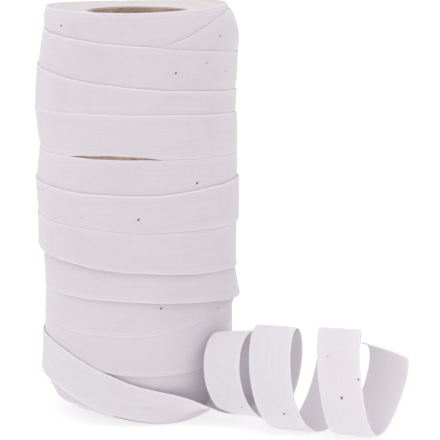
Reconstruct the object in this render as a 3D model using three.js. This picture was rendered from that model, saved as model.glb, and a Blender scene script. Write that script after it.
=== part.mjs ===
// A standing roll of cotton ribbon: a thick body of wound turns on a cardboard tube, with the
// ribbon's loose end leaving the foot of the roll and curling away over the surface.
// Millimetres, +Z up. The origin is on the surface, under the middle of the whole object.
// Around the roll, an angle of -180 is the back, -90 the left, 0 the front (-Y) and 90 the right.

import * as THREE from "three";

// Ribbon, tube and clearances
const ribbonWidth = 20;
const sheetThickness = 1;
const gap = 0.3;
const tubeBoreRadius = 21.5;
const tubeWall = 2.5;
const tubeHeight = 194.5;
const tubeChamfer = 0.6;
const rollAxis = { x: -39.4, y: 12.8 };

// Winding
const windingBoreRadius = tubeBoreRadius + tubeWall + gap;
const dishHeight = 195;
const grooveDepth = 0.8;
const grooveHeight = 0.4;
const aroundSteps = 56;

// The slit between two turns on the front, through which the tube shows
const slit = { turn: 4, middle: -13, halfWidth: 29, height: 1.8, depth: 20, slope: 0.167 };

// One row for each turn of the outer layer, from the top down: the height of the turn's upper edge
// at the back, where the turn starts, and then at the left, the front and the right.
const edgeHeights = [
  { back: 196.5, left: 197.5, front: 197, right: 199 },
  { back: 196.5, left: 188, front: 182, right: 176 },
  { back: 174, left: 170.5, front: 162.7, right: 157.5 },
  { back: 154, left: 150, front: 150.5, right: 146.5 },
  { back: 138, left: 130.5, front: 129.4, right: 127.5 },
  { back: 122, left: 116, front: 112.6, right: 115.5 },
  { back: 106, left: 99.5, front: 95.3, right: 94 },
  { back: 87, left: 81, front: 76, right: 71.5 },
  { back: 67, left: 63, front: 62, right: 57.5 },
  { back: 54, left: 48, front: 45, right: 53 },
  { back: 40, left: 36, front: 26, right: 29 },
  { back: 22, left: 15, front: 12, right: 9 },
  { back: 8, left: 5.5, front: 4, right: 2.5 },
];

// For the same turns: the radius at the upper and lower edge, at the left and at the right, and
// how far the turn's middle stands out
const edgeRadii = [
  { upperLeft: 44.4, lowerLeft: 44.9, upperRight: 43.3, lowerRight: 47.4, bulge: 0.8 },
  { upperLeft: 45.1, lowerLeft: 47.6, upperRight: 47.9, lowerRight: 46.8, bulge: 0.4 },
  { upperLeft: 47.9, lowerLeft: 48.6, upperRight: 47.2, lowerRight: 46.9, bulge: 0.3 },
  { upperLeft: 48.7, lowerLeft: 46.9, upperRight: 47.2, lowerRight: 47.7, bulge: 0.4 },
  { upperLeft: 47.1, lowerLeft: 48.8, upperRight: 47, lowerRight: 47.4, bulge: 0.3 },
  { upperLeft: 49.2, lowerLeft: 48.2, upperRight: 48.2, lowerRight: 48.1, bulge: 0.3 },
  { upperLeft: 48.4, lowerLeft: 48.5, upperRight: 46.9, lowerRight: 46.7, bulge: 0.2 },
  { upperLeft: 45.9, lowerLeft: 45, upperRight: 46.4, lowerRight: 48.4, bulge: 0.2 },
  { upperLeft: 44.5, lowerLeft: 44.8, upperRight: 45.3, lowerRight: 45, bulge: 0.3 },
  { upperLeft: 44.6, lowerLeft: 45.6, upperRight: 44.8, lowerRight: 44.6, bulge: 0.3 },
  { upperLeft: 45.6, lowerLeft: 43.6, upperRight: 44.4, lowerRight: 41, bulge: 0.6 },
  { upperLeft: 42.8, lowerLeft: 38.8, upperRight: 40.2, lowerRight: 38, bulge: 0.4 },
  { upperLeft: 36.6, lowerLeft: 28, upperRight: 38, lowerRight: 36.6, bulge: 0.4 },
];
const turns = edgeHeights.map((heights, k) => ({ ...heights, ...edgeRadii[k] }));

// The edge of the flat base
const foot = [
  { angle: -180, radius: 33 },
  { angle: -100, radius: 28 },
  { angle: -50, radius: 25.6 },
  { angle: -10, radius: 30.5 },
  { angle: 20, radius: 36 },
  { angle: 60, radius: 34 },
  { angle: 120, radius: 35 },
  { angle: 180, radius: 33 },
];

// The rows that shape one turn, from its upper edge to the groove below it
const turnRows = [
  { down: 0, bulged: 0 },
  { down: 0.45, bulged: 1 },
  { down: 1, bulged: 0 },
  { down: 1, bulged: 0, groove: true },
];

// The loose end where it still lies on the roll: the height of the ribbon's middle and how far it
// leans inward towards its lower edge, by the angle around the roll
const laidOnRoll = [
  { angle: -150, height: 32.5, lean: 0 },
  { angle: -100, height: 31.5, lean: 0 },
  { angle: -58, height: 28.2, lean: 5 },
  { angle: -26, height: 20, lean: 13 },
  { angle: -3, height: 12.7, lean: 26 },
  { angle: 10, height: 10, lean: 31 },
];
const leavesAt = 9;
const onRollSteps = 26;

// The curl, a row for each half turn, counted from the first low point: the middle of the turn in
// plan from the roll's axis, its radius, the height of its low point, the heading of the curl's
// axis towards the front, and the tilt of the ribbon across
const curl = [
  { turn: 0, x: 42, y: -35, radius: 18, lift: 7, yaw: 36, lean: 0 },
  { turn: 0.5, x: 45.5, y: -34, radius: 18.5, lift: 6.5, yaw: 32, lean: 10 },
  { turn: 1, x: 55, y: -36, radius: 18.5, lift: 6, yaw: 27, lean: 0 },
  { turn: 1.5, x: 65.5, y: -39, radius: 23.5, lift: 1.5, yaw: 22, lean: 0 },
  { turn: 2, x: 79, y: -43, radius: 24, lift: 0.5, yaw: 20, lean: 0 },
  { turn: 2.5, x: 95, y: -47, radius: 24, lift: 0.8, yaw: 16, lean: 0 },
  { turn: 3, x: 105.5, y: -51, radius: 21.8, lift: 0.5, yaw: 16, lean: 0 },
  { turn: 3.5, x: 113.4, y: -54.5, radius: 20.8, lift: 0.5, yaw: 34, lean: 0 },
];
const curlStart = 0.12;
const curlEnd = 3.42;
const curlSteps = 84;
const cutSlant = 0.05;
const cutRun = 0.2;
const crossingPull = 34;
const crossingSteps = 10;
const acrossSteps = 4;

const radians = THREE.MathUtils.degToRad;
const lerp = THREE.MathUtils.lerp;

// A smooth curve through the values ys at the rising places xs
function through(xs, ys, x) {
  const last = xs.length - 1;
  let i = 0;
  while (i < last - 1 && x > xs[i + 1]) i += 1;
  const slope = (k) => {
    const low = Math.max(k - 1, 0);
    const high = Math.min(k + 1, last);
    return (ys[high] - ys[low]) / (xs[high] - xs[low]);
  };
  const span = xs[i + 1] - xs[i];
  const s = (x - xs[i]) / span;
  const rise = s * s * (3 - 2 * s);
  const leave = s * (1 - s) * (1 - s) * span * slope(i);
  const arrive = s * s * (s - 1) * span * slope(i + 1);
  return lerp(ys[i], ys[i + 1], rise) + leave + arrive;
}

function column(rows, place, name, x) {
  return through(rows.map((row) => row[place]), rows.map((row) => row[name]), x);
}

// A bump that is 1 in the middle and falls smoothly to 0 at a distance of 1
function bump(distance) {
  return Math.abs(distance) < 1 ? (1 - distance * distance) ** 2 : 0;
}

// The helix of turns: a value is read at a place counted in turns from the back of the top one
const quarterPlaces = [];
const heightKeys = [];
const upperKeys = [];
const lowerKeys = [];
turns.forEach((turn, i) => {
  const before = turns[Math.max(i - 1, 0)];
  quarterPlaces.push(i, i + 0.25, i + 0.5, i + 0.75);
  heightKeys.push(turn.back, turn.left, turn.front, turn.right);
  for (const [keys, left, right] of [
    [upperKeys, "upperLeft", "upperRight"],
    [lowerKeys, "lowerLeft", "lowerRight"],
  ]) {
    keys.push((before[right] + turn[left]) / 2, turn[left], (turn[left] + turn[right]) / 2, turn[right]);
  }
});
quarterPlaces.push(turns.length);
heightKeys.push(0);
upperKeys.push(foot[0].radius);
lowerKeys.push(foot[0].radius);

function footRadius(fraction) {
  return column(foot, "angle", "radius", 360 * fraction - 180);
}

// A value around one closed ring, at a fraction of the way from the back over the left
function aroundRing({ back, left, front, right }, fraction) {
  const places = [-0.25, 0, 0.25, 0.5, 0.75, 1, 1.25];
  return through(places, [right, back, left, front, right, back, left], fraction);
}

// The rim is the top turn's upper edge, closed on itself
function rimAt(fraction) {
  const [rim] = turns;
  const mean = (rim.upperLeft + rim.upperRight) / 2;
  const radii = { back: mean, left: rim.upperLeft, front: mean, right: rim.upperRight };
  return { height: aroundRing(rim, fraction), radius: aroundRing(radii, fraction) };
}

function upperEdge(k, fraction) {
  if (k === 0) return rimAt(fraction);
  if (k === turns.length) return { height: 0, radius: footRadius(fraction) };
  const place = k + fraction;
  return {
    height: through(quarterPlaces, heightKeys, place),
    radius: through(quarterPlaces, upperKeys, place),
  };
}

// The edges of a turn: its own upper edge, the next turn's, and the radius at its lower edge
function turnEdges(k, fraction) {
  const last = k + 1 === turns.length;
  const upper = upperEdge(k, fraction);
  const next = upperEdge(k + 1, fraction);
  const lowerRadius = last ? next.radius : through(quarterPlaces, lowerKeys, k + fraction);
  return { upper, next, lowerRadius };
}

// A point of a turn's profile, as height and radius
function turnPoint(k, row, fraction) {
  const { upper, next, lowerRadius } = turnEdges(k, fraction);
  const angle = 360 * fraction - 180;
  const open = k + 1 === slit.turn ? bump((angle - slit.middle) / slit.halfWidth) : 0;
  const width = upper.height - next.height;
  const step = Math.min(grooveHeight, width / 4);
  const low = next.height + step + slit.height * open;
  if (row.groove) {
    const depth = grooveDepth + slit.depth * open;
    return {
      height: next.height + step / 2 - slit.slope * slit.depth * open,
      radius: Math.min(lowerRadius, next.radius) - depth,
    };
  }
  return {
    height: lerp(upper.height, low, row.down),
    radius: lerp(upper.radius, lowerRadius, row.down) + turns[k].bulge * row.bulged,
  };
}

// How far out the wound surface reaches at a height and an angle
function woundRadius(angle, height) {
  const fraction = THREE.MathUtils.euclideanModulo(angle + 180, 360) / 360;
  for (let k = 0; k < turns.length; k += 1) {
    const { upper, next, lowerRadius } = turnEdges(k, fraction);
    if (height > next.height) {
      const down = THREE.MathUtils.clamp((upper.height - height) / (upper.height - next.height), 0, 1);
      return lerp(upper.radius, lowerRadius, down) + turns[k].bulge;
    }
  }
  return footRadius(fraction);
}

function onRing(angle, radius, height) {
  const a = radians(angle);
  return new THREE.Vector3(radius * Math.sin(a), -radius * Math.cos(a), height);
}

function meshOf(name, points, faces, material) {
  const geometry = new THREE.BufferGeometry();
  geometry.setAttribute("position", new THREE.Float32BufferAttribute(points.flatMap((p) => p.toArray()), 3));
  geometry.setIndex(faces.flat());
  geometry.computeVertexNormals();
  const mesh = new THREE.Mesh(geometry, material);
  mesh.name = name;
  return mesh;
}

// The wound body. Each turn starts at the back one turn's rows lower than the last, so the rows
// run down the roll as a helix. The top turn grows out of the rim and the last runs into the foot.
function winding(material) {
  const perTurn = turnRows.length;
  const rowCount = turns.length * perTurn;
  const points = [];
  const rows = [];
  const add = (point) => points.push(point) - 1;
  for (let i = 0; i < aroundSteps; i += 1) {
    const fraction = i / aroundSteps;
    const angle = 360 * fraction - 180;
    const rim = rimAt(fraction);
    const line = [add(onRing(angle, rim.radius, rim.height))];
    for (let j = 1; j < rowCount; j += 1) {
      if (i === 0 && j <= perTurn) {
        line.push(line[0]);
      } else {
        const { height, radius } = turnPoint(Math.floor(j / perTurn), turnRows[j % perTurn], fraction);
        line.push(add(onRing(angle, radius, height)));
      }
    }
    line.push(add(onRing(angle, footRadius(fraction), 0)));
    line.push(add(onRing(angle, windingBoreRadius, 0)));
    line.push(add(onRing(angle, windingBoreRadius, dishHeight)));
    rows.push(line);
  }
  const footLevel = rowCount;
  const at = (i, j) => {
    if (i < aroundSteps) return rows[i][j];
    if (j === 0 || j >= footLevel) return rows[0][j];
    return rows[0][Math.min(j + perTurn, footLevel)];
  };
  const faces = [];
  const face = (a, b, c) => {
    if (a !== b && b !== c && c !== a) faces.push([a, b, c]);
  };
  const levels = footLevel + 3;
  for (let i = 0; i < aroundSteps; i += 1) {
    for (let j = 0; j < levels; j += 1) {
      const below = (j + 1) % levels;
      face(at(i, j), at(i, below), at(i + 1, below));
      face(at(i, j), at(i + 1, below), at(i + 1, j));
    }
  }
  return meshOf("winding", points, faces, material);
}

function tube(material) {
  const outer = tubeBoreRadius + tubeWall;
  const profile = [
    [tubeBoreRadius, tubeChamfer],
    [tubeBoreRadius + tubeChamfer, 0],
    [outer, 0],
    [outer, tubeHeight - tubeChamfer],
    [outer - tubeChamfer, tubeHeight],
    [tubeBoreRadius + tubeChamfer, tubeHeight],
    [tubeBoreRadius, tubeHeight - tubeChamfer],
    [tubeBoreRadius, tubeChamfer],
  ].map(([r, z]) => new THREE.Vector2(r, z));
  const geometry = new THREE.LatheGeometry(profile, 48);
  geometry.rotateX(Math.PI / 2);
  const mesh = new THREE.Mesh(geometry, material);
  mesh.name = "core";
  return mesh;
}

// A station on the roll: the ribbon's middle and the way its outer face looks
function stationOnRoll(angle) {
  const height = column(laidOnRoll, "angle", "height", angle);
  const lean = radians(column(laidOnRoll, "angle", "lean", angle));
  const out = onRing(angle, 1, 0);
  return {
    middle: onRing(angle, woundRadius(angle, height) + gap + sheetThickness / 2, height),
    outward: out.multiplyScalar(Math.cos(lean)).setZ(-Math.sin(lean)),
  };
}

// A station on the curl, which runs from its low point up the far side, over and down the near one
function stationOnCurl(turn) {
  const [x, y, radius, lift] = ["x", "y", "radius", "lift"].map((name) => column(curl, "turn", name, turn));
  const yaw = radians(column(curl, "turn", "yaw", turn));
  const lean = radians(column(curl, "turn", "lean", turn));
  const around = 2 * Math.PI * turn;
  const near = new THREE.Vector3(-Math.sin(yaw), -Math.cos(yaw), 0);
  const axis = new THREE.Vector3(Math.cos(yaw), -Math.sin(yaw), 0);
  const spoke = near.multiplyScalar(-Math.sin(around)).setZ(-Math.cos(around));
  const middle = new THREE.Vector3(x, y, lift + radius).addScaledVector(spoke, radius);
  return { middle, outward: spoke.multiplyScalar(Math.cos(lean)).addScaledVector(axis, -Math.sin(lean)) };
}

// The ribbon crosses from the roll to the curl on a smooth curve that leaves and arrives in line
function crossing(from, fromWay, to, toWay) {
  const pull = crossingPull / 3;
  const path = new THREE.CubicBezierCurve3(
    from.middle,
    from.middle.clone().addScaledVector(fromWay, pull),
    to.middle.clone().addScaledVector(toWay, -pull),
    to.middle,
  );
  const stations = [];
  for (let i = 1; i < crossingSteps; i += 1) {
    const s = i / crossingSteps;
    const turned = s * s * (3 - 2 * s);
    stations.push({
      middle: path.getPoint(s),
      outward: from.outward.clone().lerp(to.outward, turned).normalize(),
    });
  }
  return stations;
}

function stepFrom(makeStation, place, step) {
  return makeStation(place + step).middle.sub(makeStation(place).middle).normalize();
}

// Keeps a point of the ribbon off the wound body and off the surface the roll stands on
function kept(point) {
  const clear = gap + 0.2 + sheetThickness / 2;
  const angle = THREE.MathUtils.radToDeg(Math.atan2(point.x, -point.y));
  const reach = Math.max(...[-1, 0, 1].map((dz) => woundRadius(angle, point.z + dz)));
  const radius = Math.hypot(point.x, point.y);
  const out = Math.max(radius, reach + clear) / radius;
  return new THREE.Vector3(point.x * out, point.y * out, Math.max(point.z, sheetThickness / 2));
}

// The loose end: a strip that is carried along its stations and given its thickness
function looseEnd(material) {
  const stations = [];
  const startAngle = laidOnRoll[0].angle;
  for (let i = 0; i <= onRollSteps; i += 1) {
    stations.push(stationOnRoll(lerp(startAngle, leavesAt, i / onRollSteps)));
  }
  const arrival = stationOnCurl(curlStart);
  const leaving = stations[stations.length - 1];
  stations.push(...crossing(
    leaving,
    stepFrom(stationOnRoll, leavesAt, 0.5),
    arrival,
    stepFrom(stationOnCurl, curlStart, 0.005),
  ));
  const firstOnCurl = stations.length;
  for (let i = 0; i <= curlSteps; i += 1) {
    stations.push(stationOnCurl(lerp(curlStart, curlEnd, i / curlSteps)));
  }

  // Middle of the thickness, from the upper edge to the lower one at each station
  const strip = stations.map((station, i) => {
    const before = stations[Math.max(i - 1, 0)].middle;
    const after = stations[Math.min(i + 1, stations.length - 1)].middle;
    const along = after.clone().sub(before).normalize();
    const across = along.clone().cross(station.outward).normalize().negate();
    const turn = lerp(curlStart, curlEnd, (i - firstOnCurl) / curlSteps);
    const nearCut = THREE.MathUtils.smoothstep(turn, curlEnd - cutRun, curlEnd);
    const slant = i < firstOnCurl ? 0 : cutSlant * nearCut;
    const line = [];
    for (let j = 0; j <= acrossSteps; j += 1) {
      const side = lerp(-1, 1, j / acrossSteps);
      const middle = slant > 0 ? stationOnCurl(turn + slant * side).middle : station.middle;
      line.push(kept(middle.clone().addScaledVector(across, -side * ribbonWidth / 2)));
    }
    return line;
  });

  const lastLine = strip.length - 1;
  const points = [];
  for (const sideways of [-1, 1]) {
    strip.forEach((line, i) => line.forEach((point, j) => {
      const along = strip[Math.min(i + 1, lastLine)][j].clone().sub(strip[Math.max(i - 1, 0)][j]);
      const across = line[Math.min(j + 1, acrossSteps)].clone().sub(line[Math.max(j - 1, 0)]);
      const normal = along.cross(across).normalize();
      points.push(point.clone().addScaledVector(normal, sideways * sheetThickness / 2));
    }));
  }
  points.forEach((point) => point.setZ(Math.max(point.z, 0)));
  const width = acrossSteps + 1;
  const at = (layer, i, j) => (layer * strip.length + i) * width + j;
  const faces = [];
  const quad = (a, b, c, d) => faces.push([a, b, c], [a, c, d]);
  for (let i = 0; i < lastLine; i += 1) {
    for (let j = 0; j < acrossSteps; j += 1) {
      quad(at(1, i, j), at(1, i + 1, j), at(1, i + 1, j + 1), at(1, i, j + 1));
      quad(at(0, i, j), at(0, i, j + 1), at(0, i + 1, j + 1), at(0, i + 1, j));
    }
    quad(at(0, i, 0), at(0, i + 1, 0), at(1, i + 1, 0), at(1, i, 0));
    quad(at(1, i, acrossSteps), at(1, i + 1, acrossSteps), at(0, i + 1, acrossSteps), at(0, i, acrossSteps));
  }
  for (let j = 0; j < acrossSteps; j += 1) {
    quad(at(0, 0, j), at(1, 0, j), at(1, 0, j + 1), at(0, 0, j + 1));
    quad(at(1, lastLine, j), at(0, lastLine, j), at(0, lastLine, j + 1), at(1, lastLine, j + 1));
  }
  return meshOf("loose_end", points, faces, material);
}

const cotton = new THREE.MeshStandardMaterial({ color: 0xded8de, roughness: 0.9, metalness: 0 });
const cottonTail = new THREE.MeshStandardMaterial({ color: 0xe4dee4, roughness: 0.9, metalness: 0 });
const card = new THREE.MeshStandardMaterial({ color: 0x9c8470, roughness: 0.95, metalness: 0 });

const group = new THREE.Group();
group.add(tube(card), winding(cotton), looseEnd(cottonTail));
group.position.set(rollAxis.x, rollAxis.y, 0);

export default group;
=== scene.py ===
import math

import bpy
import numpy as np
from bpy.props import FloatProperty, FloatVectorProperty, PointerProperty
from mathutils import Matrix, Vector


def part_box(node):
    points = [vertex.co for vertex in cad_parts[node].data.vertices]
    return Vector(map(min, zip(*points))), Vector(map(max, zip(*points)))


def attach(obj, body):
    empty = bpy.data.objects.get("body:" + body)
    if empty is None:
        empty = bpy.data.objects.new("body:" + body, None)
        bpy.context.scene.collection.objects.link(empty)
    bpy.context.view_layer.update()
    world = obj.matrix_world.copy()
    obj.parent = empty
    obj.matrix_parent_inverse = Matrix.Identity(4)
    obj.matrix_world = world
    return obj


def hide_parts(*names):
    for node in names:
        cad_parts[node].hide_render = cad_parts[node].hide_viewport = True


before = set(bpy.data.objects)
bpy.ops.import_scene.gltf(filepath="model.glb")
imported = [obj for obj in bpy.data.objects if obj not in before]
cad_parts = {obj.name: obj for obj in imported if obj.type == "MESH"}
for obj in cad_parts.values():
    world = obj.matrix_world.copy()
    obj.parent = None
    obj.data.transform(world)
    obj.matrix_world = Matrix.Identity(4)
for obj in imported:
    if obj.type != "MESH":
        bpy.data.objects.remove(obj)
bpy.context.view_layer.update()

bl_info = {
    "name": "Roll of cotton ribbon",
    "version": (1, 0, 0),
    "blender": (4, 5, 0),
    "location": "3D View > Sidebar > Ribbon",
    "description": "A standing roll of cotton ribbon on a card tube, with its loose end curled beside it",
    "category": "Add Mesh",
}

# Tables are in millimetres and degrees, from the roll's axis on the surface. Around the roll, an
# angle of -180 is the back, -90 the left, 0 the front and 90 the right.
MM = 0.001
CORE_LOW, CORE_HIGH = (np.array(corner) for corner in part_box("core"))
ROLL_AXIS = np.array([*((CORE_LOW + CORE_HIGH) / 2)[:2], 0.0])
TUBE_RADIUS = (CORE_HIGH - CORE_LOW)[0] / 2 / MM
TUBE_HEIGHT = CORE_HIGH[2] / MM
TUBE_WALL = 2.5
TUBE_FOOT = 3.2
TUBE_STEPS = 144
PLY_GROOVE = 0.22
WINDING_BORE = TUBE_RADIUS + 0.3
WINDING_RADIUS = 46.5
DISH_HEIGHT = 195.0
RIBBON_WIDTH = 20.0

# The ridges on the roll's ends are this far apart, and this deep at the foot and at the top
LAYER_PITCH = 1.15
FOOT_RIDGE, TOP_RIDGE = 0.25, 0.42

# One turn around counts as this much on the map of the roll's ends
END_MAP_TURN = 100.0

# One row for each turn of the outer layer, from the top down: the height of its upper edge at four
# places, the radius at its upper and lower edge at the left and the right, how far its middle
# stands out, and how far its upper edge lies over the turn above, or under it where negative.
TURN_COLUMNS = ("back", "left", "front", "right", "upper_left", "lower_left", "upper_right",
                "lower_right", "bulge", "lap")
TURN_TABLE = (
    (196.5, 197.5, 197.0, 199.0, 43.5, 44.1, 42.2, 47.4, 0.8, 0.0),
    (196.5, 188.0, 182.0, 176.0, 44.3, 47.3, 47.9, 46.8, 0.4, 0.35),
    (174.0, 170.5, 162.7, 157.5, 47.9, 49.3, 47.2, 46.9, 0.3, 0.4),
    (154.0, 150.0, 150.5, 146.5, 49.2, 46.9, 47.2, 47.7, 0.4, 0.4),
    (138.0, 130.5, 129.4, 127.5, 47.1, 48.8, 47.2, 47.7, 0.3, 0.3),
    (122.0, 116.0, 112.6, 115.5, 49.3, 48.2, 48.5, 48.5, 0.3, 0.4),
    (106.0, 99.5, 95.3, 94.0, 48.4, 48.4, 47.4, 47.2, 0.2, 0.4),
    (87.0, 83.0, 76.0, 71.5, 45.9, 45.0, 46.6, 48.9, 0.2, -0.45),
    (67.0, 63.0, 62.0, 57.0, 45.2, 45.4, 45.8, 45.5, 0.3, -0.4),
    (54.0, 48.0, 45.0, 53.0, 45.4, 46.1, 45.3, 44.9, 0.3, -0.35),
    (40.0, 36.0, 26.0, 29.0, 45.6, 43.6, 44.4, 41.0, 0.6, -0.3),
    (22.0, 15.0, 12.0, 9.0, 42.8, 38.8, 40.2, 38.0, 0.4, 0.3),
    (8.0, 5.5, 4.0, 2.5, 36.6, 28.0, 38.0, 36.6, 0.4, 0.2),
)
TURNS = {name: np.array([row[i] for row in TURN_TABLE]) for i, name in enumerate(TURN_COLUMNS)}
TURN_COUNT = len(TURN_TABLE)

# Where the lip of an edge on top rises and where it has faded, from the edge
LIP_RISES, LIP_FADES = (-0.25, 0.6), (0.8, 4)

# The edge of the base: angle around the roll, radius
FOOT = np.array([
    (-180, 33), (-100, 28), (-50, 25.6), (-10, 30.5), (20, 36), (60, 34), (120, 35), (180, 33),
])

# Where the top turn bulges out below the rim, and where the foot is drawn in and lifted: how far,
# at what angle, and over how many degrees to each side
SHOULDER_OUT, SHOULDER_AT, SHOULDER_SPREAD = 2.2, 72.0, 42.0
FOOT_HOLLOW, FOOT_LIFT, HOLLOW_AT, HOLLOW_SPREAD = 5.0, 3.0, -60.0, 50.0

# Places across a turn, from its upper edge to its lower one
ACROSS_TURN = np.array([
    0, 0.008, 0.03, 0.07, 0.13, 0.22, 0.34, 0.5, 0.66, 0.78, 0.87, 0.93, 0.97, 0.992, 1,
])

# Places around a turn, and rows across the base, up the bore's wall and over the top face
AROUND_STEPS = 220
BASE_ROWS, WALL_ROWS, TOP_ROWS = 24, 12, 112

# An edge sharper than this, in degrees, is shaded as a crease
CREASE, STRIP_CREASE = 50, 70

# The slit between two turns on the front, whose back, just under the surface, takes the tube's board
# colour as painted shade of a deep slit: the turn it lies above, its ends, its greatest height, its
# depth, how far its back lies below its mouth, and the radius that its cutter reaches
SLIT_TURN = 4
SLIT_FROM, SLIT_TO, SLIT_WIDEST = -40.0, 16.0, 1.7
SLIT_DEPTH, SLIT_DROP, SLIT_REACH = 0.8, 0.2, 52.0

# The loose end on the roll: angle, height of its middle, lean inward towards the lower edge, and
# how far it stands off the roll
LAID_COLUMNS = ("angle", "height", "lean", "off")
LAID_ON_ROLL = dict(zip(LAID_COLUMNS, np.array([
    (-200, 33.5, 0, 0),
    (-150, 32.5, 0, 0),
    (-100, 31.6, -4, 0.9),
    (-58, 28.0, -1, 0.6),
    (-26, 19.0, 8, 0.1),
    (-3, 13.0, 24, 0),
    (10, 10.6, 31, 0),
]).T))

# Where it starts and leaves the roll, up to where it is tucked in and how deep, how many stations
# each stretch has and places across, and its gap to the roll
STARTS_AT, LEAVES_AT = -196.0, 9.0
TUCKED_UNTIL, TUCKED_DEPTH = -176.0, 0.9
ROLL_STATIONS, CROSSING_STATIONS, CURL_STATIONS = 110, 26, 330
LOOSE_PLACES = 17
OFF_THE_ROLL = 0.08

# The curl, a row for each half turn from its first low point: the middle of the turn in plan, its
# radius, the height of its low point, the heading of its axis and the ribbon's tilt across
CURL_COLUMNS = ("turn", "x", "y", "radius", "lift", "yaw", "lean")
CURL = dict(zip(CURL_COLUMNS, np.array([
    (0.0, 42.0, -35.0, 18.0, 8.0, 36, 0),
    (0.5, 45.9, -34.0, 19.3, 6.5, 32, 8),
    (1.0, 55.5, -36.0, 18.9, 5.0, 27, 0),
    (1.5, 65.8, -39.0, 23.5, 1.5, 22, 0),
    (2.0, 79.4, -43.0, 24.0, 0.5, 20, 0),
    (2.5, 95.5, -47.0, 24.0, 0.8, 16, 0),
    (3.0, 105.5, -51.0, 21.8, 0.5, 16, 0),
    (3.5, 112.8, -54.5, 20.8, 0.5, 38, 0),
]).T))

# In turns, where the curl starts and ends, how far the cut end slants and over what run. Then how
# hard the crossing is pulled straight at its ends.
CURL_START, CURL_END = 0.12, 3.42
CUT_SLANT, CUT_RUN = 0.05, 0.2
CROSSING_PULL = 34.0 / 3

# The outer wrap at the top: angle, height of its upper edge
TOP_WRAP = dict(zip(("angle", "height"), np.array([
    (-12, 180.0),
    (5, 179.0),
    (15, 181.2),
    (32, 185.5),
    (40, 188.6),
    (60, 194.0),
    (85, 196.0),
    (120, 193.0),
    (160, 187.0),
]).T))

# Where it starts and ends and its rough radius, its stations and places across, its gap to the roll
# and how far it dips in where it is hidden, and the height it shows above
WRAP_FROM, WRAP_TO, WRAP_RADIUS = -10, 158, 47
WRAP_STATIONS, WRAP_PLACES = 100, 15
OFF_UNDER_WRAP, WRAP_TUCK = 0.1, 1.1
WRAP_SHOWS_ABOVE = 178

# Dark specks of seed in the cotton: angle, height, length, width, turned by
SPECKS = np.array([
    (-50, 190.0, 1.3, 0.7, 20),
    (24, 169.4, 1.2, 0.8, 70),
    (45, 173.0, 0.8, 0.5, 10),
    (55, 185.1, 1.1, 0.6, 150),
    (63, 168.0, 0.9, 0.5, 40),
    (37, 117.2, 1.4, 1.0, 5),
    (2, 101.7, 1.3, 1.1, 60),
    (15, 58.7, 1.2, 0.9, 30),
    (-31, 101.5, 0.6, 0.4, 0),
    (57, 55.0, 0.6, 0.4, 80),
    (-96, 143.0, 1.0, 0.6, 35),
    (-128, 88.0, 1.2, 0.7, 110),
    (-160, 171.0, 0.9, 0.7, 15),
    (174, 66.0, 1.1, 0.8, 75),
    (148, 126.0, 1.3, 0.6, 160),
    (121, 40.0, 0.8, 0.6, 95),
    (101, 152.0, 1.0, 0.7, 50),
])
# On the curl: turn, place across from -1 to 1, length, width, turned by
CURL_SPECKS = np.array([
    (0.86, -0.5, 0.9, 0.6, 80),
    (1.84, -0.2, 1.3, 0.9, 95),
    (2.76, 0.02, 1.6, 0.9, 5),
    (2.71, -0.85, 1.1, 0.8, 20),
    (2.63, 0.45, 0.7, 0.5, 45),
])

# A speck's rings, each with its radius and height, the points of a ring, and a speck's height
BLOB_RINGS = ((1.0, -0.3), (0.85, 0.55), (0.4, 0.95))
BLOB_POINTS = 12
BLOB_HEIGHT = 0.13

# Light spreads inside cotton, so a thin ribbon glows from its far side: how far, in metres
LIGHT_INSIDE = {"Subsurface Weight": 0.85, "Subsurface Radius": (1.0, 0.97, 0.96)}
LIGHT_REACH = {
    "Wound ribbon": 0.001,
    "Laid ribbon": 0.0008,
    "Curled ribbon": 0.002,
    "Ribbon edges": 0.001,
}

# A faint brownish smudge on the roll: angle, radius and height, and its tint of the cotton
SMUDGE_AT = (-40.0, 45.0, 188.6)
SMUDGE_TINT = (0.93, 0.9, 0.83)

# The floor glows a little by itself, as a white table lit from below does
FLOOR_HALF = 3.0
FLOOR_GLOW = 0.58

# How much the world is dimmed to the right and to the left, each over a span of directions
WORLD_DIMMED = ((0.15, 0.9, 0.28), (-0.15, -0.9, 0.22))

# The lights, in metres and watts: name, place and power. Both are squares aimed at one point.
LIGHTS = (("key_light", (-0.5, -1.0, 1.9), 7.0), ("fill_light", (1.3, -1.0, 0.9), 1.0))
LIGHTS_AIM, LIGHTS_SIDE = (0.0, 0.0, 0.1), 1.2

# The camera: its place from the roll's axis on the surface, pitch down, and lens
CAMERA_PLACE = (39.5, -1104.0, 281.0)
CAMERA_PITCH = 9.65
CAMERA_LENS = 188.84
SENSOR_WIDTH = 36.0


def through(places, values, x):
    """A smooth curve through values at rising places: each span is a cubic that meets both of its
    ends and takes, at each, the slope between that end's two neighbours."""
    x = np.asarray(x, float)
    last = len(places) - 1
    low = np.maximum(np.arange(last + 1) - 1, 0)
    high = np.minimum(np.arange(last + 1) + 1, last)
    slope = (values[high] - values[low]) / (places[high] - places[low])
    i = np.clip(np.searchsorted(places, x) - 1, 0, last - 1)
    span = places[i + 1] - places[i]
    s = (x - places[i]) / span
    rise = s * s * (3 - 2 * s)
    ends = values[i] + (values[i + 1] - values[i]) * rise
    return ends + span * s * (1 - s) * ((1 - s) * slope[i] - s * slope[i + 1])


def smooth(low, high, x):
    """A smooth step: 0 below low, 1 above high, three s squared less two s cubed between."""
    s = np.clip((x - low) / (high - low), 0, 1)
    return s * s * (3 - 2 * s)


def bell(x, middle, spread):
    """A bell curve: e to the minus square of the distance from its middle, in spreads."""
    return np.exp(-((x - middle) / spread) ** 2)


def angle_at(fraction):
    return 360 * fraction - 180


def on_ring(angle, radius, height):
    """A point at an angle around the roll: radius times sine, minus radius times cosine, height."""
    a = np.radians(angle)
    return np.stack(np.broadcast_arrays(radius * np.sin(a), -radius * np.cos(a), height), -1)


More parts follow.
